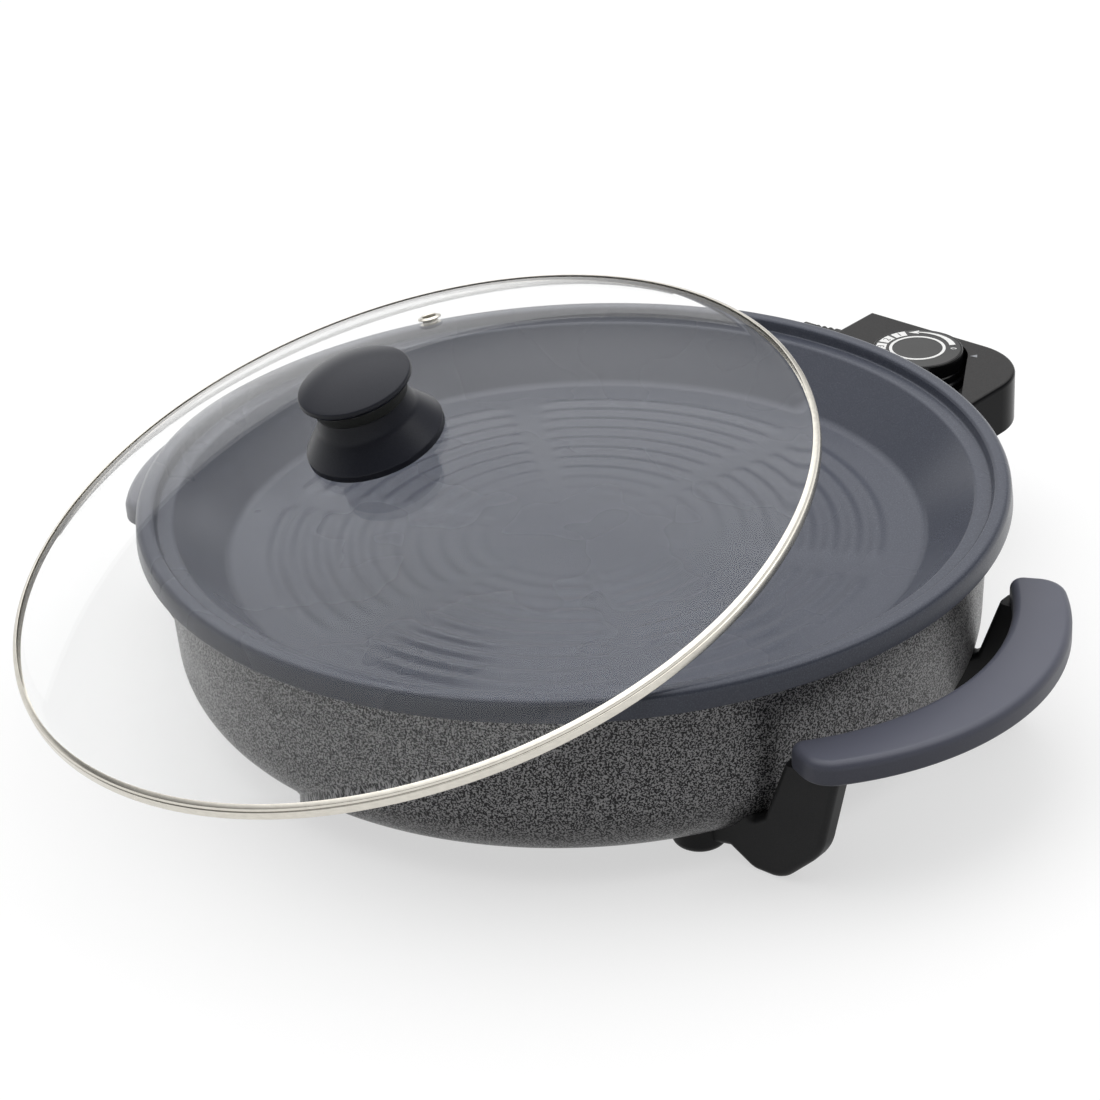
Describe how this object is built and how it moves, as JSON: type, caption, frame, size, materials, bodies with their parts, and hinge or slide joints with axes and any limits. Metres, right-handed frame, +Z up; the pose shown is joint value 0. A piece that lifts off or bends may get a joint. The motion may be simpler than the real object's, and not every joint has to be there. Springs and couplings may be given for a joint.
{
  "type": "electric griddle",
  "caption": "Deep round electric griddle: non-stick pan in a double-walled heated base on legged handles, domed glass lid set ajar, plug-in thermostat with a dial.",
  "frame": {"origin": "on the table under the middle of the pan, which is also the middle of the whole outline", "axes": "+Z up along the pan's axis, +X towards one handle, +Y towards the plug-in thermostat"},
  "size_m": [0.4868, 0.5263, 0.1903],
  "materials": {
    "nonstick_coating": "dark blue-grey non-stick coating with a fine sparkle",
    "hammertone_paint": "grey and black hammertone paint",
    "galvanised_sheet": "dull pressed sheet",
    "zinc_plate": "bright zinc plate",
    "element_sheath": "dull heat-stained sheath",
    "ceramic": "unglazed ceramic",
    "handle_phenolic": "satin dark moulding",
    "leg_phenolic": "matt black moulding",
    "knob_phenolic": "satin near-black moulding",
    "collar_grey": "matt grey ring",
    "bright_aluminium": "bright rolled sheet",
    "case_plastic": "satin top with glossy edges",
    "dial_plastic": "satin black",
    "dial_print": "black disc with white marks",
    "probe_steel": "ground stainless",
    "brass_contact": "bare brass strip",
    "gland_rubber": "matt black rubber",
    "lid_glass": "clear toughened glass",
    "band_stainless": "polished stainless strip"
  },
  "bodies": {
    "base": {"griddle_plate": "nonstick_coating", "outer_shell": "hammertone_paint", "base_cover": "galvanised_sheet", "cover_screws": "zinc_plate", "heating_element": "element_sheath", "element_clamps": "galvanised_sheet", "clamp_screws": "zinc_plate", "terminal_pins": "element_sheath", "terminal_bushes": "ceramic", "socket_shroud": "handle_phenolic", "probe_guide": "galvanised_sheet", "support_posts": "galvanised_sheet", "post_screws": "zinc_plate", "heat_shield": "bright_aluminium", "leg_screws": "zinc_plate", "leg_nuts": "zinc_plate", "right_grip": "handle_phenolic", "right_front_leg": "leg_phenolic", "right_rear_leg": "leg_phenolic", "left_grip": "handle_phenolic", "left_front_leg": "leg_phenolic", "left_rear_leg": "leg_phenolic"},
    "controller": {"case_top": "case_plastic", "case_bottom": "case_plastic", "case_screws": "zinc_plate", "probe_tube": "probe_steel", "contact_sleeves": "brass_contact", "thermostat_base": "ceramic", "contact_springs": "brass_contact", "cord_gland": "gland_rubber"},
    "dial": {"dial_knob": "dial_plastic", "dial_face": "dial_print", "dial_shaft": "probe_steel", "dial_cam": "dial_plastic"},
    "lid": {"lid_glass": "lid_glass", "lid_band": "band_stainless", "vent_eyelet": "band_stainless", "lid_knob": "knob_phenolic", "knob_collar": "collar_grey", "knob_flange": "knob_phenolic", "knob_screw": "probe_steel"}
  },
  "joints": [
    {"name": "controller_unplug", "type": "slide", "parent": "base", "child": "controller", "axis": [0, 1, 0], "range_m": [0, 0.09]},
    {"name": "dial_turn", "type": "hinge", "parent": "controller", "child": "dial", "pos_m": [0.025, 0.233, 0.08], "axis": [0, 0, 1], "range_deg": [-270, 0]},
    {"name": "lid_lift", "type": "slide", "parent": "base", "child": "lid", "axis": [0, 0, 1], "range_m": [0, 0.15]}
  ]
}
